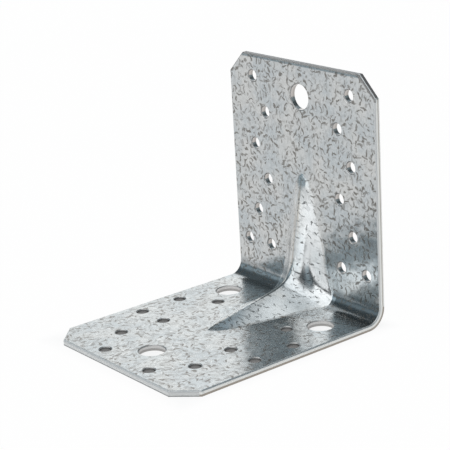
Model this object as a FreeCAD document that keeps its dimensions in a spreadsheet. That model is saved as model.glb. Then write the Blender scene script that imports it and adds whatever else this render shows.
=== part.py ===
import FreeCAD, Part
import math
import os
import Sketcher

# Ribbed angle bracket: one blank of galvanised sheet, punched, cropped at its corners, folded once
# and pressed across the fold, so that a hollow rib stands inside the angle.
# Frame: X across the width, the upright leg at the back (+Y), the base leg on Z = 0.
# The origin is the middle of the box that the bracket fills, at its underside.

doc = FreeCAD.newDocument("angle_bracket")
sheet = doc.addObject("Spreadsheet::Sheet", "Sizes")

SIZES = {
    # blank and fold
    "width": 90.0,
    "upright_leg": 105.0,
    "base_leg": 105.0,
    "thickness": 2.5,
    "fold_radius": 6.0,
    "corner_cut": 9.0,
    "edge_roll": 0.6,
    # punched holes
    "nail_hole": 5.0,
    "anchor_hole": 11.0,
    "hole_roll": 0.4,
    # upright leg: first row and anchor down from the top edge, last row up from the underside,
    # places out from the centre line, or in from the side edge for the outer nails
    "upright_first_row": 9.5,
    "upright_last_row": 20.5,
    "upright_narrow": 22.5,
    "upright_wide": 30.0,
    "upright_outer_edge": 7.5,
    "upright_anchor_drop": 14.5,
    # base leg: rows forward from the back face, or back from the front edge for the front rows,
    # places out from the centre line, or in from the side edge for the outer nails
    "base_rear_anchor_row": 22.0,
    "base_rear_anchor_out": 30.0,
    "base_inner_row": 34.0,
    "base_inner_out": 22.5,
    "base_outer_row": 43.5,
    "base_outer_edge": 7.5,
    "base_front_back": 21.5,
    "base_front_out": 25.0,
    "base_end_back": 6.5,
    "base_end_out": 15.0,
    "base_front_anchor_back": 19.0,
    # pressed rib: stations along each leg from the inside corner, crest heights above the leg,
    # half widths where the flanks would reach rib_sink below the face
    "rib_reach": 54.0,
    "rib_tail": 2.0,
    "rib_tail_dip": 0.7,
    "rib_tail_half": 4.4,
    "rib_nose": 2.0,
    "rib_nose_rise": 1.05,
    "rib_nose_half": 6.6,
    "rib_shoulder": 8.0,
    "rib_shoulder_rise": 2.4,
    "rib_shoulder_half": 9.2,
    "rib_root": 22.0,
    "rib_root_rise": 6.6,
    "rib_root_half": 14.2,
    "rib_corner_rise": 10.7,
    "rib_corner_half": 18.0,
    "rib_crest_radius": 3.0,
    "rib_sink": 1.0,
    "rib_hollow_step": 0.6,
    "rib_hollow_radius": 1.0,
    "rib_foot_roll": 0.8,
    "rib_mouth_roll": 0.4,
}

for row, (name, value) in enumerate(SIZES.items(), start=1):
    sheet.set("A%d" % row, name)
    sheet.set("B%d" % row, str(value))
    sheet.setAlias("B%d" % row, name)
doc.recompute()


def bind(thing, prop, text):
    """Bind a property to an expression in which {name} stands for a size in the sheet."""
    thing.setExpression(prop, text.format(**{name: "Sizes." + name for name in SIZES}))


def worth(text):
    """The present value of such an expression, so that a sketch is drawn close to its solution."""
    plain = text.format(**{name: str(sheet.get(name)) for name in SIZES})
    return FreeCAD.Units.Quantity(plain).Value


body = doc.addObject("PartDesign::Body", "angle_bracket")
body.Label = "angle_bracket"
planes = {item.Role: item for item in body.Origin.OriginFeatures}
START, END, CENTRE = range(1, 4)
X_AXIS, Y_AXIS = range(-1, -3, -1)
ORIGIN = (X_AXIS, START)


def new_sketch(name, plane):
    """An empty sketch on one of the body's own origin planes."""
    sketch = body.newObject("Sketcher::SketchObject", name)
    sketch.AttachmentSupport = [(planes[plane], "")]
    sketch.MapMode = "FlatFace"
    return sketch


def dimension(sketch, kind, *where, text):
    """Add a dimension whose value is an expression of the sheet."""
    index = sketch.addConstraint(Sketcher.Constraint(kind, *where, worth(text)))
    bind(sketch, "Constraints[%d]" % index, text)


def point(across, up):
    return FreeCAD.Vector(across, up, 0)


# Folded blank: the L-shaped section, drawn side on and padded across the width.
def section_of_blank():
    sketch = new_sketch("BlankSection", "YZ_Plane")
    back = worth("{base_leg} / 2")
    front = -back
    top = worth("{upright_leg}")
    wall = worth("{thickness}")
    inner = worth("{fold_radius}")
    outer = inner + wall
    middle = point(back - outer, outer)
    quarter = math.pi / 2
    turn = [Part.Circle(middle, FreeCAD.Vector(0, 0, 1), radius) for radius in (outer, inner)]
    underside = sketch.addGeometry(Part.LineSegment(point(front, 0), point(back - outer, 0)))
    outer_fold = sketch.addGeometry(Part.ArcOfCircle(turn[0], -quarter, 0))
    back_face = sketch.addGeometry(Part.LineSegment(point(back, outer), point(back, top)))
    top_end = sketch.addGeometry(Part.LineSegment(point(back, top), point(back - wall, top)))
    inner_face = sketch.addGeometry(
        Part.LineSegment(point(back - wall, top), point(back - wall, outer)))
    inner_fold = sketch.addGeometry(Part.ArcOfCircle(turn[1], -quarter, 0))
    base_face = sketch.addGeometry(
        Part.LineSegment(point(back - outer, wall), point(front, wall)))
    front_end = sketch.addGeometry(Part.LineSegment(point(front, wall), point(front, 0)))
    for line in (underside, base_face, top_end):
        sketch.addConstraint(Sketcher.Constraint("Horizontal", line))
    for line in (back_face, inner_face, front_end):
        sketch.addConstraint(Sketcher.Constraint("Vertical", line))
    for first, second in ((back_face, top_end), (top_end, inner_face),
                          (base_face, front_end), (front_end, underside)):
        sketch.addConstraint(Sketcher.Constraint("Coincident", first, END, second, START))
    sketch.addConstraint(Sketcher.Constraint("Tangent", underside, END, outer_fold, START))
    sketch.addConstraint(Sketcher.Constraint("Tangent", outer_fold, END, back_face, START))
    sketch.addConstraint(Sketcher.Constraint("Tangent", inner_face, END, inner_fold, END))
    sketch.addConstraint(Sketcher.Constraint("Tangent", inner_fold, START, base_face, START))
    sketch.addConstraint(
        Sketcher.Constraint("Coincident", outer_fold, CENTRE, inner_fold, CENTRE))
    sketch.addConstraint(Sketcher.Constraint("PointOnObject", underside, START, X_AXIS))
    dimension(sketch, "DistanceX", underside, START, *ORIGIN, text="{base_leg} / 2")
    dimension(sketch, "DistanceX", *ORIGIN, back_face, END, text="{base_leg} / 2")
    dimension(sketch, "DistanceY", *ORIGIN, back_face, END, text="{upright_leg}")
    dimension(sketch, "DistanceX", top_end, END, top_end, START, text="{thickness}")
    dimension(sketch, "Radius", inner_fold, text="{fold_radius}")
    return sketch


blank = body.newObject("PartDesign::Pad", "Blank")
blank.Profile = section_of_blank()
blank.SideType = "Symmetric"
bind(blank, "Length", "{width}")
doc.recompute()


def edges_where(feature, test):
    """Names of the edges of a feature whose shape passes a test."""
    return ["Edge%d" % number
            for number, edge in enumerate(feature.Shape.Edges, start=1) if test(edge)]


def near(value, target):
    return abs(value - target) < 1e-4


# Cropped corners: both free corners of each leg are cut off at 45 degrees.
def is_free_corner(edge):
    box = edge.BoundBox
    at_side = near(box.XLength, 0) and near(abs(box.XMin), worth("{width} / 2"))
    through_upright = near(box.ZMin, worth("{upright_leg}"))
    through_base = near(box.YMax, worth("-{base_leg} / 2"))
    return at_side and (through_upright or through_base)


corners = body.newObject("PartDesign::Chamfer", "CroppedCorners")
corners.Base = (blank, edges_where(blank, is_free_corner))
bind(corners, "Size", "{corner_cut}")
doc.recompute()


# Rolled edge: shearing draws the inside faces down along the whole outline of the blank.
def is_inside_outline(edge):
    back = worth("{base_leg} / 2 - {thickness}")
    floor = worth("{thickness}")
    fold = worth("{fold_radius}")
    middle = edge.valueAt((edge.FirstParameter + edge.LastParameter) / 2)
    on_upright = near(middle.y, back) and middle.z > floor + fold + 1e-3
    on_base = near(middle.z, floor) and middle.y < back - fold - 1e-3
    on_fold = near(math.hypot(back - fold - middle.y, floor + fold - middle.z), fold)
    across = near(edge.BoundBox.XLength, 0)
    return on_upright or on_base or (on_fold and across)


rolled = body.newObject("PartDesign::Fillet", "RolledEdge")
rolled.Base = (corners, edges_where(corners, is_inside_outline))
bind(rolled, "Radius", "{edge_roll}")
doc.recompute()


# Rib section: a flat foot, two straight flanks and a round crest, symmetric about the centre line.
# Each sketch stands square to the crest's run: tilt 0 on the base, 45 in the corner, 90 upright.
def rib_section(name, tilt, up, forward, crest, foot, half, radius):
    sketch = new_sketch(name, "XZ_Plane")
    sketch.AttachmentOffset = FreeCAD.Placement(
        point(0, 0), FreeCAD.Rotation(FreeCAD.Vector(1, 0, 0), tilt))
    bind(sketch, "AttachmentOffset.Base.y", up)
    bind(sketch, "AttachmentOffset.Base.z", forward)
    level = worth(foot)
    reach = worth(half)
    bend = worth(radius)
    centre = worth(crest) - bend
    slope = math.atan2(centre - level, reach)
    slope += math.asin(bend / math.hypot(reach, centre - level))
    touch = point(bend * math.sin(slope), centre + bend * math.cos(slope))
    circle = Part.Circle(point(0, centre), FreeCAD.Vector(0, 0, 1), bend)
    upward = math.pi / 2
    base = sketch.addGeometry(Part.LineSegment(point(-reach, level), point(reach, level)))
    right = sketch.addGeometry(Part.LineSegment(point(reach, level), touch))
    crown = sketch.addGeometry(Part.ArcOfCircle(circle, upward - slope, upward + slope))
    left = sketch.addGeometry(
        Part.LineSegment(point(-touch.x, touch.y), point(-reach, level)))
    sketch.addConstraint(Sketcher.Constraint("Coincident", base, END, right, START))
    sketch.addConstraint(Sketcher.Constraint("Tangent", right, END, crown, START))
    sketch.addConstraint(Sketcher.Constraint("Tangent", crown, END, left, START))
    sketch.addConstraint(Sketcher.Constraint("Coincident", left, END, base, START))
    sketch.addConstraint(Sketcher.Constraint("Symmetric", base, START, base, END, Y_AXIS))
    sketch.addConstraint(Sketcher.Constraint("PointOnObject", crown, CENTRE, Y_AXIS))
    dimension(sketch, "DistanceX", base, START, base, END, text="2 * (%s)" % half)
    dimension(sketch, "Radius", crown, text=radius)
    dimension(sketch, "DistanceY", *ORIGIN, base, END, text=foot)
    dimension(sketch, "DistanceY", *ORIGIN, crown, CENTRE, text="%s - (%s)" % (crest, radius))
    return sketch


# Stations along each leg, from the tail that dips under the face to the root near the fold.
STATIONS = (
    ("Tail", "{rib_reach} + {rib_tail}", "-{rib_tail_dip}", "{rib_tail_half}"),
    ("Nose", "{rib_reach} - {rib_nose}", "{rib_nose_rise}", "{rib_nose_half}"),
    ("Shoulder", "{rib_reach} - {rib_shoulder}", "{rib_shoulder_rise}", "{rib_shoulder_half}"),
    ("Middle", "({rib_reach} - {rib_shoulder} + {rib_root}) / 2",
     "({rib_root_rise} + {rib_shoulder_rise}) / 2", "({rib_root_half} + {rib_shoulder_half}) / 2"),
    ("Root", "{rib_root}", "{rib_root_rise}", "{rib_root_half}"),
)


def rib_sections(part, drop, narrower, radius):
    """Sections of the rib or of its hollow, from the upright's tail round to the base's tail."""
    inside = "{base_leg} / 2 - {thickness}"
    upright = []
    base = []
    for station, along, crest, half in STATIONS:
        level = "%s - %s" % (crest, drop)
        foot = "-{rib_sink} - %s" % drop
        width = "%s - %s" % (half, narrower)
        upright.append(rib_section(part + "Upright" + station, 90, "{thickness} + " + along,
                                   "-(%s)" % inside, level, foot, width, radius))
        base.append(rib_section(part + "Base" + station, 0, "{thickness}",
                                "%s - (%s)" % (along, inside), level, foot, width, radius))
    corner = rib_section(part + "Corner", 45, "{thickness}", "-(%s)" % inside,
                         "{rib_corner_rise} * sqrt(2) - %s" % drop,
                         "{fold_radius} * (sqrt(2) - 1) - {rib_sink} - %s" % drop,
                         "{rib_corner_half} - %s" % narrower, radius)
    return upright + [corner] + base[::-1]


def loft(kind, name, sections):
    feature = body.newObject(kind, name)
    feature.Profile = sections[0]
    feature.Sections = sections[1:]
    doc.recompute()
    return feature


def is_rib_outline(edge, inset):
    """Whether the rib or its hollow meets, in this edge, the face of the sheet at this inset."""
    back = worth("{base_leg} / 2")
    outer = worth("{fold_radius} + {thickness}")
    middle = edge.valueAt((edge.FirstParameter + edge.LastParameter) / 2)
    from_fold = math.hypot(back - outer - middle.y, outer - middle.z)
    on_face = (near(middle.y, back - inset) or near(middle.z, inset)
               or near(from_fold, outer - inset))
    return on_face and isinstance(edge.Curve, Part.BSplineCurve)


def round_outline(name, feature, inset, radius):
    fillet = body.newObject("PartDesign::Fillet", name)
    fillet.Base = (feature, edges_where(feature, lambda edge: is_rib_outline(edge, inset)))
    bind(fillet, "Radius", radius)
    doc.recompute()


# Pressed rib and the hollow behind it: the same form, set back by the sheet's thickness.
# The sheet turns up into the rib on the inside, and away into the hollow on the outside.
rib = loft("PartDesign::AdditiveLoft", "Rib",
           rib_sections("Rib", "0", "0", "{rib_crest_radius}"))
round_outline("RibFeet", rib, worth("{thickness}"), "{rib_foot_roll}")
hollow = loft("PartDesign::SubtractiveLoft", "RibHollow",
              rib_sections("Hollow", "{thickness}", "{rib_hollow_step}", "{rib_hollow_radius}"))
round_outline("HollowMouth", hollow, 0, "{rib_mouth_roll}")


# Punched holes: the same sketch form for nails and for anchors on either leg.
def hole_sketch(name, plane, diameter, places):
    sketch = new_sketch(name, plane)
    for across, up in places:
        middle = point(worth(across), worth(up))
        circle = Part.Circle(middle, FreeCAD.Vector(0, 0, 1), worth(diameter) / 2)
        hole = sketch.addGeometry(circle)
        dimension(sketch, "Diameter", hole, text=diameter)
        if across == "0":
            sketch.addConstraint(Sketcher.Constraint("PointOnObject", hole, CENTRE, Y_AXIS))
        else:
            dimension(sketch, "DistanceX", *ORIGIN, hole, CENTRE, text=across)
        dimension(sketch, "DistanceY", *ORIGIN, hole, CENTRE, text=up)
    return sketch


def punch(name, sketch, both_sides):
    """Punch a sketch of holes through its leg, and its mirror image beyond the centre line."""
    before = body.Shape.Volume
    pocket = body.newObject("PartDesign::Pocket", name)
    pocket.Profile = sketch
    pocket.Type = "ThroughAll"
    pocket.Reversed = sketch.AttachmentSupport[0][0].Role == "XY_Plane"
    doc.recompute()
    if pocket.Shape.Volume > before - 1:
        raise RuntimeError(name + " cuts nothing")
    if both_sides:
        mirror = body.newObject("PartDesign::Mirrored", name + "Mirrored")
        mirror.Originals = [pocket]
        mirror.MirrorPlane = (planes["YZ_Plane"], [""])
        body.Tip = mirror
        doc.recompute()


def upright_row(number):
    """Height of one of the six rows of nails, spread evenly from the first row to the last."""
    top = "{upright_leg} - {upright_first_row}"
    return "%s - %d * (%s - {upright_last_row}) / 5" % (top, number, top)


def rear_row(name):
    return "{base_leg} / 2 - {%s}" % name


def front_row(name):
    return "{%s} - {base_leg} / 2" % name


upright_nails = [("{upright_wide}" if row % 2 == 0 else "{upright_narrow}", upright_row(row))
                 for row in range(6)]
upright_nails.append(("{width} / 2 - {upright_outer_edge}", upright_row(5)))
base_outer = "{width} / 2 - {base_outer_edge}"
base_middle_row = "({base_front_back} - {base_outer_row}) / 2"
base_nails = [
    ("{base_inner_out}", rear_row("base_inner_row")),
    (base_outer, rear_row("base_outer_row")),
    ("{base_inner_out}", base_middle_row),
    (base_outer, base_middle_row),
    ("{base_front_out}", front_row("base_front_back")),
    ("{base_end_out}", front_row("base_end_back")),
]
punch("UprightNails",
      hole_sketch("UprightNailPlaces", "XZ_Plane", "{nail_hole}", upright_nails), True)
punch("BaseNails", hole_sketch("BaseNailPlaces", "XY_Plane", "{nail_hole}", base_nails), True)
punch("UprightAnchor",
      hole_sketch("UprightAnchorPlace", "XZ_Plane", "{anchor_hole}",
                  [("0", "{upright_leg} - {upright_anchor_drop}")]), False)
punch("RearAnchors",
      hole_sketch("RearAnchorPlaces", "XY_Plane", "{anchor_hole}",
                  [("{base_rear_anchor_out}", rear_row("base_rear_anchor_row"))]), True)
punch("FrontAnchor",
      hole_sketch("FrontAnchorPlace", "XY_Plane", "{anchor_hole}",
                  [("0", front_row("base_front_anchor_back"))]), False)


# Rolled rims: the punch draws the sheet down at the mouth of each hole on the inside faces.
def is_inside_rim(edge):
    if not isinstance(edge.Curve, Part.Circle):
        return False
    radius = edge.Curve.Radius
    punched = near(radius, worth("{nail_hole} / 2")) or near(radius, worth("{anchor_hole} / 2"))
    centre = edge.Curve.Center
    on_upright = near(centre.y, worth("{base_leg} / 2 - {thickness}"))
    on_base = near(centre.z, worth("{thickness}"))
    return punched and (on_upright or on_base)


last_cut = body.Tip
rims = body.newObject("PartDesign::Chamfer", "RolledRims")
rims.Base = (last_cut, edges_where(last_cut, is_inside_rim))
bind(rims, "Size", "{hole_roll}")
body.Tip = rims
doc.recompute()

for item in doc.Objects:
    if "Invalid" in item.State or "Error" in item.State:
        raise RuntimeError("%s failed: %s" % (item.Name, item.State))
if body.Shape.isNull() or not body.Shape.isValid() or len(body.Shape.Solids) != 1:
    raise RuntimeError("the bracket isn't one valid solid")

os.makedirs("parts", exist_ok=True)
body.Shape.exportStep("parts/%s.step" % body.Label)
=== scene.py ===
import math

import bmesh
import bpy
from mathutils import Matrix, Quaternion, Vector


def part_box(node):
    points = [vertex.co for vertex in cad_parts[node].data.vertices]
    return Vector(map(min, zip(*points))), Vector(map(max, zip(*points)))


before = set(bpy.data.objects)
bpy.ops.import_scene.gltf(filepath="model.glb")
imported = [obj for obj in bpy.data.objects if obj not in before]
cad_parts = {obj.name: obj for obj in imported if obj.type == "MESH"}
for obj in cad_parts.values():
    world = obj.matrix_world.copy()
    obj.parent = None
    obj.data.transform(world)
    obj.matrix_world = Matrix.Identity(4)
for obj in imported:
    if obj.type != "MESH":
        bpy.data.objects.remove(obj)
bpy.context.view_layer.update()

# The bracket: one blank of 2.5 mm steel strip, hot-dip galvanised before it was punched, folded and
# pressed. Its two faces carry the zinc, dulled by short dark flecks where the coat froze. The sheared
# edges and the walls of the holes are bare steel: bright where the punch slid, grey where it tore.
MM = 0.001
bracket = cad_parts["angle_bracket"]
lowest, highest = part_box("angle_bracket")
sheet_thickness = 2.5 * MM
inside_upright = highest.y - sheet_thickness
inside_base = lowest.z + sheet_thickness
fold_radius = 6 * MM
corner_cut = 9 * MM
rib_half_width = 19 * MM
rib_top = 62 * MM
rib_front = -10 * MM

zinc = bpy.data.materials.new("zinc_coated_steel")
zinc.use_nodes = True
tree = zinc.node_tree
tree.nodes.clear()


# These functions add nodes to the tree in hand: the zinc's here, then the floor's and the studio's.
def connect(socket, value):
    """Link a socket to another node's output, or set its constant."""
    if isinstance(value, bpy.types.NodeSocket):
        tree.links.new(value, socket)
    else:
        socket.default_value = value


def maths(operation, *values):
    """One step of arithmetic on numbers or outputs."""
    step = tree.nodes.new("ShaderNodeMath")
    step.operation = operation
    for socket, value in zip(step.inputs, values):
        connect(socket, value)
    return step.outputs["Value"]


def times(first, *others):
    """The product of several shares."""
    for other in others:
        first = maths("MULTIPLY", first, other)
    return first


def most(first, *others):
    """The largest of several shares."""
    for other in others:
        first = maths("MAXIMUM", first, other)
    return first


def ramp(value, low, high, to_low=0.0, to_high=1.0, shape="SMOOTHSTEP"):
    """A step between two values, soft unless another shape is named."""
    step = tree.nodes.new("ShaderNodeMapRange")
    step.interpolation_type = shape
    connect(step.inputs["Value"], value)
    ends = (("From Min", low), ("From Max", high), ("To Min", to_low), ("To Max", to_high))
    for name, number in ends:
        connect(step.inputs[name], number)
    return step.outputs["Result"]


def vector_maths(operation, first, second):
    """One step of arithmetic on places."""
    step = tree.nodes.new("ShaderNodeVectorMath")
    step.operation = operation
    connect(step.inputs[0], first)
    connect(step.inputs[1], second)
    return step.outputs["Vector"]


def blend_colours(share, first, second):
    """The first colour where the share is 0, and the second where it is 1."""
    step = tree.nodes.new("ShaderNodeMix")
    step.data_type = "RGBA"
    connect(step.inputs["Factor"], share)
    connect(step.inputs["A"], first)
    connect(step.inputs["B"], second)
    return step.outputs["Result"]


def pick(share, first, second):
    """The first number where the share is 0, and the second where it is 1."""
    step = tree.nodes.new("ShaderNodeMix")
    connect(step.inputs["Factor"], share)
    connect(step.inputs["A"], first)
    connect(step.inputs["B"], second)
    return step.outputs["Result"]


def round_place(first, second, middle, reach):
    """1 within a distance of a point, and 0 beyond it."""
    away = [maths("SUBTRACT", value, centre) for value, centre in zip((first, second), middle)]
    square = maths("ADD", times(away[0], away[0]), times(away[1], away[1]))
    return maths("LESS_THAN", square, reach * reach)


def noise(where, wavelength, detail=2.0, output="Fac"):
    """A soft random pattern of a given size."""
    step = tree.nodes.new("ShaderNodeTexNoise")
    step.noise_dimensions = "2D"
    connect(step.inputs["Vector"], where)
    step.inputs["Scale"].default_value = 1 / wavelength
    step.inputs["Detail"].default_value = detail
    return step.outputs[output]


def flecks(where, spacing, half_length, half_width, bend, shown):
    """Short curved strokes, one in each cell of the coat, that lean about one way, some fainter."""
    lean = 0.82
    spread = 2.6
    shortest = 0.45
    fading = 0.6
    cells = tree.nodes.new("ShaderNodeTexVoronoi")
    cells.voronoi_dimensions = "2D"
    connect(cells.inputs["Vector"], where)
    cells.inputs["Scale"].default_value = 1 / spacing
    chance = tree.nodes.new("ShaderNodeSeparateColor")
    connect(chance.inputs["Color"], cells.outputs["Color"])
    angle = ramp(chance.outputs["Red"], 0.0, 1.0, lean - spread / 2, lean + spread / 2)
    turn = tree.nodes.new("ShaderNodeVectorRotate")
    turn.rotation_type = "Z_AXIS"
    connect(turn.inputs["Vector"], vector_maths("SUBTRACT", where, cells.outputs["Position"]))
    connect(turn.inputs["Angle"], angle)
    local = tree.nodes.new("ShaderNodeSeparateXYZ")
    connect(local.inputs["Vector"], turn.outputs["Vector"])
    along = local.outputs["X"]
    length = times(half_length, maths("ADD", shortest, chance.outputs["Green"]))
    across = maths("ADD", local.outputs["Y"], times(along, along, bend))
    long_way = maths("POWER", maths("ABSOLUTE", maths("DIVIDE", along, length)), 3.0)
    short_way = maths("POWER", maths("ABSOLUTE", maths("DIVIDE", across, half_width)), 2.0)
    stroke = ramp(maths("ADD", long_way, short_way), 1.9, 0.1)
    present = ramp(chance.outputs["Blue"], 1 - shown, 1 - shown + fading)
    return times(stroke, present)


# Places on the sheet: how far out from the middle, in front of the upright's inside face, above the
# base's inside face and below the top. Along the rib, places count up the upright from the corner, and
# below zero out along the base.
place = tree.nodes.new("ShaderNodeTexCoord")
axes = tree.nodes.new("ShaderNodeSeparateXYZ")
connect(axes.inputs["Vector"], place.outputs["Object"])
across_sheet = axes.outputs["X"]
depth = axes.outputs["Y"]
height = axes.outputs["Z"]
side = maths("ABSOLUTE", across_sheet)
forward = maths("SUBTRACT", inside_upright, depth)
upward = maths("SUBTRACT", height, inside_base)
below_top = maths("SUBTRACT", highest.z, height)
from_corner = maths("SUBTRACT", upward, forward)
along_base = ramp(forward, 4 * MM, 16 * MM)
proud = ramp(maths("MINIMUM", forward, upward), 0.15 * MM, 0.7 * MM)
on_rib = times(proud, maths("LESS_THAN", side, rib_half_width))

# Flecks lie on the sheet as if it were flat again: X across it, and back along the base and up the
# upright. The upright is thick with them.
flat = tree.nodes.new("ShaderNodeCombineXYZ")
connect(flat.inputs["X"], across_sheet)
connect(flat.inputs["Y"], maths("ADD", height, depth))
flat_place = flat.outputs["Vector"]
wander_size = 2.6 * MM
wander_reach = 2.4 * MM
noise_middle = (0.5, 0.5, 0.5)
wander = vector_maths("SUBTRACT", noise(flat_place, wander_size, output="Color"), noise_middle)
wander = vector_maths("MULTIPLY", wander, (wander_reach, wander_reach, 0.0))
waved = vector_maths("ADD", flat_place, wander)
shifted = vector_maths("ADD", waved, (0.31, 0.17, 0.0))
bold = flecks(waved, spacing=2.9 * MM, half_length=1.55 * MM, half_width=0.43 * MM,
              bend=140.0, shown=0.95)
lesser = flecks(shifted, spacing=2.1 * MM, half_length=1.0 * MM, half_width=0.33 * MM,
                bend=-200.0, shown=0.85)
dense = most(bold, times(lesser, 0.7))

# Along the base and on the rib they are sparser. The base has a few broad blots and pale dashes too.
blot_place = vector_maths("ADD", waved, (0.13, 0.29, 0.0))
dash_place = vector_maths("ADD", waved, (0.53, 0.41, 0.0))
strokes = flecks(shifted, spacing=2.8 * MM, half_length=1.25 * MM, half_width=0.47 * MM,
                 bend=150.0, shown=0.9)
blots = flecks(blot_place, spacing=4.8 * MM, half_length=2.3 * MM, half_width=0.9 * MM,
               bend=90.0, shown=0.4)
dashes = flecks(dash_place, spacing=3.6 * MM, half_length=1.5 * MM, half_width=0.5 * MM,
                bend=110.0, shown=0.7)
sparse = most(strokes, times(blots, 0.5), times(dense, 0.5))
near_tip = ramp(forward, 28 * MM, 40 * MM, to_low=0.25, to_high=0.85)
few = most(ramp(lesser, 0.45, 1.0), times(dense, near_tip))
fleck = pick(on_rib, pick(along_base, dense, sparse), few)

# The die has burnished one flank of the rib and scraped the other side of its crest. The upright beside
# the burnished flank is lightened with a painted highlight.
base_flank = times(ramp(from_corner, -10 * MM, -22 * MM, to_high=0.8),
                   ramp(from_corner, -44 * MM, -30 * MM))
upright_flank = ramp(from_corner, -4 * MM, 8 * MM, to_low=0.2, to_high=0.85)
rubbed = times(most(base_flank, upright_flank), ramp(upward, 53 * MM, 40 * MM))
burnished = times(on_rib, ramp(across_sheet, -0.5 * MM, 6.0 * MM), rubbed)
streak_stretch = (1.0, 0.08, 1.0)
streaks = noise(vector_maths("MULTIPLY", flat_place, streak_stretch), 1.2 * MM)
beside_crest = times(ramp(across_sheet, 2.0 * MM, 0.3 * MM), ramp(across_sheet, -5.0 * MM, -2.0 * MM))
scraped = times(on_rib, ramp(streaks, 0.4, 0.65), beside_crest)
# Painted highlight: a lighter band on the upright, to the right of the rib and low on it.
highlight_band_height = times(ramp(upward, 12 * MM, 17 * MM), ramp(upward, 34 * MM, 24 * MM))
painted_highlight_beside_rib = times(highlight_band_height, ramp(across_sheet, 13 * MM, 19 * MM, to_high=0.42))

# The zinc is dulled where the fold has stretched it, and there it is darkened further with painted
# shade, most on the right. Along the rolled top edge of the upright a dark line is partly thin zinc and
# partly painted shade. The base is worn, least near its right side, which is kept pale as a painted
# highlight.
in_fold = times(ramp(forward, 1.2 * fold_radius, 0.8 * fold_radius),
                ramp(upward, 1.45 * fold_radius, 0.85 * fold_radius))
# Dulled zinc and painted shade: the fold outside the rib is darkened, more towards the right.
fold_dulling_and_shade = times(in_fold, maths("GREATER_THAN", side, 0.9 * rib_half_width))
fold_shade_strength = ramp(across_sheet, -10 * MM, 10 * MM, to_low=0.55, to_high=0.95)
on_inside = maths("LESS_THAN", depth, inside_upright + 0.7 * MM)
# Partly thin zinc, partly painted shade: a dark line on the inside face just below the top edge.
top_edge_thin_and_shade = times(on_inside, ramp(below_top, 1.8 * MM, 0.6 * MM, to_high=0.5))
worn = times(along_base, maths("SUBTRACT", 1.0, on_rib))
# Painted highlight: the right side of the base is kept pale, without the wear colour.
highlight_right_side = times(ramp(across_sheet, 24 * MM, 34 * MM), ramp(forward, 56 * MM, 46 * MM))
wear_and_highlight = pick(highlight_right_side, 0.27, 0.0)

# The colour of the coat: clouded zinc, each change laid over it in turn, and the flecks on top.
cloud = noise(flat_place, 14 * MM)
smudge = noise(waved, 2.4 * MM)
grain_stretch = (1.0, 0.55, 1.0)
grain = noise(vector_maths("MULTIPLY", flat_place, grain_stretch), 0.9 * MM)
uneven = pick(along_base, 0.3, 0.12)
cool_zinc = (0.46, 0.5, 0.52, 1)
pale_zinc = (0.58, 0.585, 0.575, 1)
worn_grey = (0.35, 0.33, 0.305, 1)
dash_white = (0.75, 0.74, 0.72, 1)
smudge_grey = (0.4, 0.41, 0.41, 1)
grain_white = (0.78, 0.79, 0.79, 1)
highlight_white = (0.8, 0.825, 0.835, 1)
fold_shade_grey = (0.15, 0.17, 0.18, 1)
top_edge_dark_brown = (0.2, 0.185, 0.175, 1)
burnished_white = (0.83, 0.855, 0.865, 1)
scraped_brown = (0.4, 0.35, 0.29, 1)
changes = [
    (times(worn, wear_and_highlight), worn_grey),
    (times(worn, dashes, 0.5), dash_white),
    (ramp(smudge, 0.58, 0.3, to_high=uneven), smudge_grey),
    (ramp(grain, 0.35, 0.75, to_high=uneven), grain_white),
    (painted_highlight_beside_rib, highlight_white),
    (times(fold_dulling_and_shade, fold_shade_strength), fold_shade_grey),
    (top_edge_thin_and_shade, top_edge_dark_brown),
    (burnished, burnished_white),
    (times(scraped, 0.6), scraped_brown),
]
coat = blend_colours(ramp(cloud, 0.3, 0.7), cool_zinc, pale_zinc)
for share, colour in changes:
    coat = blend_colours(share, coat, colour)
upright_fleck = (0.16, 0.148, 0.132, 1)
base_fleck = (0.15, 0.12, 0.095, 1)
rib_fleck = (0.15, 0.155, 0.155, 1)
fleck_colour = blend_colours(on_rib, blend_colours(along_base, upright_fleck, base_fleck), rib_fleck)
coat = blend_colours(times(fleck, 0.95), coat, fleck_colour)

# Cut faces lie between the two faces of the sheet, away from the rib: how far in from the inside
# face, on the upright, on the base and round the fold.
on_upright = maths("GREATER_THAN", height, inside_base + fold_radius)
on_base = maths("LESS_THAN", depth, inside_upright - fold_radius)
past_centre = maths("SUBTRACT", depth, inside_upright - fold_radius)
under_centre = maths("SUBTRACT", height, inside_base + fold_radius)
centre_square = maths("ADD", times(past_centre, past_centre), times(under_centre, under_centre))
into_fold = maths("SUBTRACT", maths("SQRT", centre_square), fold_radius)
into_sheet = pick(on_base, into_fold, maths("SUBTRACT", inside_base, height))
into_sheet = pick(on_upright, into_sheet, maths("SUBTRACT", depth, inside_upright))

# Those within a narrow band of the outline are edges, and the rest are walls of holes.
edge_band = 1.5 * MM
corner_start = corner_cut + 1.2 * MM
base_corner = maths("GREATER_THAN", maths("SUBTRACT", side, depth), highest.x - lowest.y - corner_start)
upright_corner = maths("GREATER_THAN", maths("ADD", side, height), highest.x + highest.z - corner_start)
at_corner = pick(on_upright, base_corner, upright_corner)
at_end = most(maths("LESS_THAN", below_top, edge_band), maths("LESS_THAN", depth, lowest.y + edge_band))
cropped = most(at_corner, at_end)
outline = most(maths("GREATER_THAN", side, highest.x - edge_band), cropped)
zinc_depth = pick(outline, 0.06 * MM, 0.004 * MM)
between_faces = times(ramp(into_sheet, zinc_depth, maths("ADD", zinc_depth, 0.02 * MM)),
                      ramp(into_sheet, sheet_thickness - 0.01 * MM, sheet_thickness - 0.03 * MM))
clear_of_rib = most(maths("GREATER_THAN", side, rib_half_width),
                    maths("GREATER_THAN", height, rib_top),
                    maths("LESS_THAN", depth, rib_front))
cut = times(between_faces, clear_of_rib)
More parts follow.
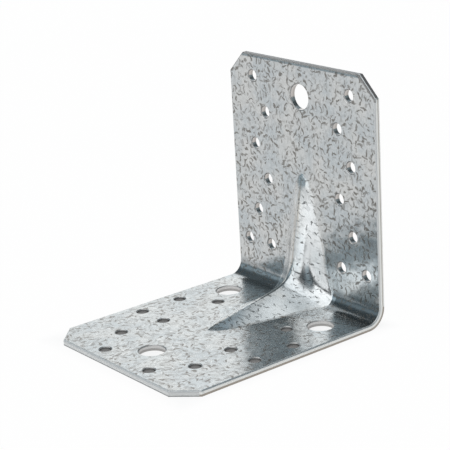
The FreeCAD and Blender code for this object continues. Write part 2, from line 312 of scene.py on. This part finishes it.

# Hole walls: bright where the punch slid and grey where the steel tore, with an eased rim. The narrow
# holes of the base are painted dark, as shade, and a little lighter lower down; the walls of the wide
# holes of the base are painted lighter, as the light that reaches them.
torn = ramp(into_sheet, 1.3 * MM, 1.55 * MM)
upright_wall = blend_colours(torn, (0.56, 0.53, 0.505, 1), (0.46, 0.43, 0.405, 1))
wide_wall_lit = blend_colours(torn, (0.7, 0.69, 0.68, 1), (0.42, 0.41, 0.4, 1))
lit_below = ramp(into_sheet, 0.5 * MM, 1.3 * MM)
# Painted shade: the walls of the base's narrow holes, darkest near the top.
narrow_wall_shade = blend_colours(lit_below, (0.17, 0.168, 0.165, 1), (0.3, 0.296, 0.292, 1))
back_anchor_holes = (30 * MM, 30.5 * MM)
front_anchor_hole = (0.0, -33.5 * MM)
anchor_reach = 7 * MM
wide_hole = most(round_place(side, depth, back_anchor_holes, anchor_reach),
                 round_place(side, depth, front_anchor_hole, anchor_reach))
base_wall = blend_colours(wide_hole, narrow_wall_shade, wide_wall_lit)
rim = ramp(into_sheet, 0.42 * MM, 0.36 * MM)
wall = blend_colours(on_upright, base_wall, upright_wall)
wall = blend_colours(rim, wall, (0.45, 0.445, 0.44, 1))

# Edges: the sides are the slit edges of the strip, wiped with zinc over a thin brown line of steel.
# The ends and the corners were cropped, and are grey. All are rolled over at the inside face.
slit = ramp(side, highest.x - 0.8 * MM, highest.x - 0.5 * MM)
line_end = pick(on_upright, 2.8 * MM, 2.0 * MM)
line = times(ramp(into_sheet, 1.5 * MM, 1.65 * MM),
             ramp(into_sheet, line_end, maths("SUBTRACT", line_end, 0.15 * MM)))
slit_colour = blend_colours(line, (0.9, 0.89, 0.86, 1), (0.42, 0.37, 0.32, 1))
slid = ramp(into_sheet, 0.5 * MM, 0.9 * MM)
broken = ramp(into_sheet, 1.9 * MM, 2.2 * MM)
base_crop = blend_colours(slid, (0.55, 0.55, 0.55, 1), (0.74, 0.735, 0.725, 1))
base_crop = blend_colours(broken, base_crop, (0.33, 0.33, 0.33, 1))
upright_crop = blend_colours(at_corner, (0.5, 0.48, 0.47, 1), (0.31, 0.285, 0.28, 1))
bright_line = times(ramp(into_sheet, 0.5 * MM, 0.6 * MM), ramp(into_sheet, 1.2 * MM, 1.0 * MM))
bright_crop = times(at_corner, on_upright, bright_line)
crop_colour = blend_colours(on_upright, base_crop, upright_crop)
crop_colour = blend_colours(bright_crop, crop_colour, (0.95, 0.94, 0.92, 1))
upright_roll = blend_colours(at_corner, (0.46, 0.445, 0.43, 1), (0.3, 0.29, 0.285, 1))
roll_colour = blend_colours(times(cropped, on_upright), (0.62, 0.63, 0.63, 1), upright_roll)
edge = blend_colours(slit, crop_colour, slit_colour)
edge = blend_colours(ramp(into_sheet, 0.65 * MM, 0.5 * MM), edge, roll_colour)
cut_colour = blend_colours(outline, wall, edge)

# Relief: the coat waves a little, and lies lower in the flecks. The rib's flanks swell beside the
# crest near the fold and sink beyond it, the rib's upper end has shoulders, and the upright's top edge
# is rolled over.
coat_relief = 0.02 * MM
wave_height = 8.0
swell = noise(flat_place, 3.5 * MM, detail=1.0)
wave = times(noise(flat_place, 6.0 * MM, detail=1.0), wave_height)
fleck_depth = pick(along_base, 0.4, 0.1)
coat_height = maths("SUBTRACT", maths("ADD", swell, wave), times(fleck, fleck_depth))
relief = tree.nodes.new("ShaderNodeBump")
connect(relief.inputs["Strength"], pick(on_rib, 1.0, 0.35))
relief.inputs["Distance"].default_value = coat_relief
connect(relief.inputs["Height"], coat_height)
crest_edge = 4.2 * MM
dent_depth = 0.5 * MM
valley = ramp(from_corner, 0.0, 14 * MM, to_low=10.8 * MM, to_high=7.0 * MM)
dent_end = ramp(from_corner, 0.0, 14 * MM, to_low=20 * MM, to_high=12 * MM)
swollen = times(ramp(side, 0.6 * MM, crest_edge, to_high=dent_depth), ramp(side, valley, crest_edge))
sunk = times(ramp(side, crest_edge, valley, to_high=-dent_depth), ramp(side, dent_end, valley))
near_fold = times(ramp(from_corner, 30 * MM, 12 * MM), ramp(from_corner, -3.5 * MM, 6 * MM))
upper_end = times(ramp(upward, 42 * MM, 51 * MM), maths("LESS_THAN", height, 1.1 * rib_top))
shoulder_middle = 3.0 * MM
shoulder = times(ramp(side, 0.3 * MM, shoulder_middle, to_high=0.6 * MM),
                 ramp(side, 8.0 * MM, shoulder_middle), upper_end)
formed = maths("ADD", times(maths("ADD", swollen, sunk), near_fold), shoulder)
rolled_top = times(on_inside, ramp(below_top, 1.5 * MM, 0.2 * MM, to_high=-0.3 * MM))
dent = tree.nodes.new("ShaderNodeBump")
connect(dent.inputs["Strength"], most(on_rib, maths("LESS_THAN", below_top, 2.0 * MM)))
dent.inputs["Distance"].default_value = 1.0
connect(dent.inputs["Height"], maths("ADD", formed, rolled_top))
connect(dent.inputs["Normal"], relief.outputs["Normal"])

# Zinc and bare steel are metal. The oxide that whitens the cropped corners of the upright, and dulls
# the end of the base and the slit sides, is not.
on_base_end = times(cropped, maths("SUBTRACT", 1.0, on_upright))
oxide = most(times(slit, 0.3), bright_crop, times(on_base_end, 0.5))
coat_roughness = maths("ADD", pick(worn, 0.2, 0.25), times(fleck, 0.15))
wall_roughness = pick(rim, pick(on_upright, 0.42, 0.16), 0.6)
edge_roughness = pick(slit, 0.65, 0.4)
cut_roughness = pick(outline, wall_roughness, edge_roughness)
finish = tree.nodes.new("ShaderNodeBsdfPrincipled")
connect(finish.inputs["Base Color"], blend_colours(cut, coat, cut_colour))
connect(finish.inputs["Metallic"], maths("SUBTRACT", 1.0, times(cut, oxide)))
connect(finish.inputs["Roughness"], pick(cut, coat_roughness, cut_roughness))
connect(finish.inputs["Coat Weight"], maths("SUBTRACT", 1.0, cut))
finish.inputs["Coat Roughness"].default_value = 0.2
connect(finish.inputs["Normal"], dent.outputs["Normal"])
surface = tree.nodes.new("ShaderNodeOutputMaterial")
connect(surface.inputs["Surface"], finish.outputs["BSDF"])
bracket.material_slots[0].material = zinc

# The floor: a wide sheet of matt white board that the bracket stands on. It is seen, and mirrored
# in the zinc, as white, and it keeps a share of the shadow that the bracket throws on it.
floor_radius = 10.0
floor_mesh = bpy.data.meshes.new("floor")
floor_form = bmesh.new()
bmesh.ops.create_circle(floor_form, cap_ends=True, segments=64, radius=floor_radius)
floor_form.to_mesh(floor_mesh)
floor_form.free()
floor = bpy.data.objects.new("floor", floor_mesh)
bpy.context.scene.collection.objects.link(floor)
board = bpy.data.materials.new("white_board")
board.use_nodes = True
tree = board.node_tree
tree.nodes.clear()
matt = tree.nodes.new("ShaderNodeBsdfDiffuse")
matt.inputs["Color"].default_value = (0.9, 0.9, 0.9, 1)
white = tree.nodes.new("ShaderNodeEmission")
rays = tree.nodes.new("ShaderNodeLightPath")
mirrored_share = 0.78
mirrored = times(rays.outputs["Is Glossy Ray"], mirrored_share)
seen = most(rays.outputs["Is Camera Ray"], mirrored, rays.outputs["Is Transmission Ray"])
board_place = tree.nodes.new("ShaderNodeTexCoord")
spot = tree.nodes.new("ShaderNodeSeparateXYZ")
connect(spot.inputs["Vector"], board_place.outputs["Object"])
past_side = maths("SUBTRACT", maths("ABSOLUTE", spot.outputs["X"]), highest.x)
past_end = maths("SUBTRACT", maths("ABSOLUTE", spot.outputs["Y"]), highest.y)
whiteness = ramp(most(past_side, past_end), -8 * MM, 6 * MM, to_low=0.8, to_high=0.985, shape="LINEAR")
mixed = tree.nodes.new("ShaderNodeMixShader")
connect(mixed.inputs["Fac"], times(seen, whiteness))
connect(mixed.inputs[1], matt.outputs["BSDF"])
connect(mixed.inputs[2], white.outputs["Emission"])
board_surface = tree.nodes.new("ShaderNodeOutputMaterial")
connect(board_surface.inputs["Surface"], mixed.outputs["Shader"])
floor_mesh.materials.append(board)

# The studio: a dim bluish room, darker towards its ceiling, with a lit white wall behind on the left,
# a large soft box overhead, a low one in front and fainter panes of light between them. Its unlit
# side, on the right of the camera, darkens the fold and the rib.
world = bpy.data.worlds.new("studio")
bpy.context.scene.world = world
world.use_nodes = True
tree = world.node_tree
room = tree.nodes["Background"]
room.inputs["Color"].default_value = (0.78, 1.0, 1.12, 1)
look = tree.nodes.new("ShaderNodeTexCoord")
steep = tree.nodes.new("ShaderNodeSeparateXYZ")
connect(steep.inputs["Vector"], look.outputs["Generated"])
dimming = ramp(steep.outputs["Z"], 0.38, 0.58, to_low=0.34, to_high=0.14, shape="LINEAR")
unlit_side = Vector((0.5, -0.83, 0.2)).normalized()
towards_unlit = tree.nodes.new("ShaderNodeVectorMath")
towards_unlit.operation = "DOT_PRODUCT"
connect(towards_unlit.inputs[0], look.outputs["Generated"])
connect(towards_unlit.inputs[1], unlit_side)
shade = ramp(towards_unlit.outputs["Value"], 0.86, 0.95, to_low=1.0, to_high=0.12, shape="LINEAR")
connect(room.inputs["Strength"], times(dimming, shade))
lamp_distance = 1.2


def soft_box(name, towards, across, tall, radiance, tint=(1.0, 1.0, 1.0)):
    """A rectangular lamp that faces the bracket from a given direction."""
    lamp = bpy.data.lights.new(name, "AREA")
    lamp.shape = "RECTANGLE"
    lamp.size = across
    lamp.size_y = tall
    lamp.energy = radiance * math.pi * across * tall
    lamp.color = tint
    held = bpy.data.objects.new(name, lamp)
    direction = Vector(towards).normalized()
    held.location = direction * lamp_distance
    held.rotation_euler = direction.to_track_quat("Z", "Y").to_euler()
    held.visible_camera = False
    bpy.context.scene.collection.objects.link(held)


warm_white = (1.0, 0.972, 0.945)
cool_white = (0.85, 1.0, 1.1)
sky_blue = (0.8, 1.0, 1.15)
soft_box("lit_wall", (-0.75, 0.62, 0.28), across=1.6, tall=0.6, radiance=0.84, tint=warm_white)
soft_box("overhead", (0.08, -0.5, 0.86), across=1.5, tall=1.55, radiance=1.4)
soft_box("low_front", (-0.017, -0.978, 0.21), across=1.02, tall=0.55, radiance=1.0)
soft_box("wall_top", (-0.63, 0.49, 0.6), across=0.42, tall=0.45, radiance=0.8)
soft_box("dim_wall", (-0.75, -0.58, 0.31), across=0.8, tall=0.4, radiance=0.26, tint=cool_white)
soft_box("window", (-0.3, 0.5, 0.8), across=0.8, tall=0.8, radiance=0.27, tint=sky_blue)

# The camera: a long lens in front of the bracket and well to its right, looking a little down on it.
# Its place and its slight roll were fitted to the bracket's outline and holes.
image_width = 450
focal_pixels = 1508.7
azimuth = math.radians(52.13)
elevation = math.radians(18.29)
roll = math.radians(-3.39)
distance = 624.0 * MM
aim = Vector((-6.1, 12.0, 42.7)) * MM
back = Vector((math.sin(azimuth) * math.cos(elevation), -math.cos(azimuth) * math.cos(elevation),
               math.sin(elevation)))
lens = bpy.data.cameras.new("camera")
lens.sensor_width = 36.0
lens.lens = focal_pixels * lens.sensor_width / image_width
camera = bpy.data.objects.new("camera", lens)
camera.location = aim + back * distance
camera.rotation_mode = "QUATERNION"
camera.rotation_quaternion = (-back).to_track_quat("-Z", "Y") @ Quaternion((0, 0, 1), roll)
bpy.context.scene.collection.objects.link(camera)
bpy.context.scene.camera = camera
bpy.context.scene.view_settings.view_transform = "Standard"
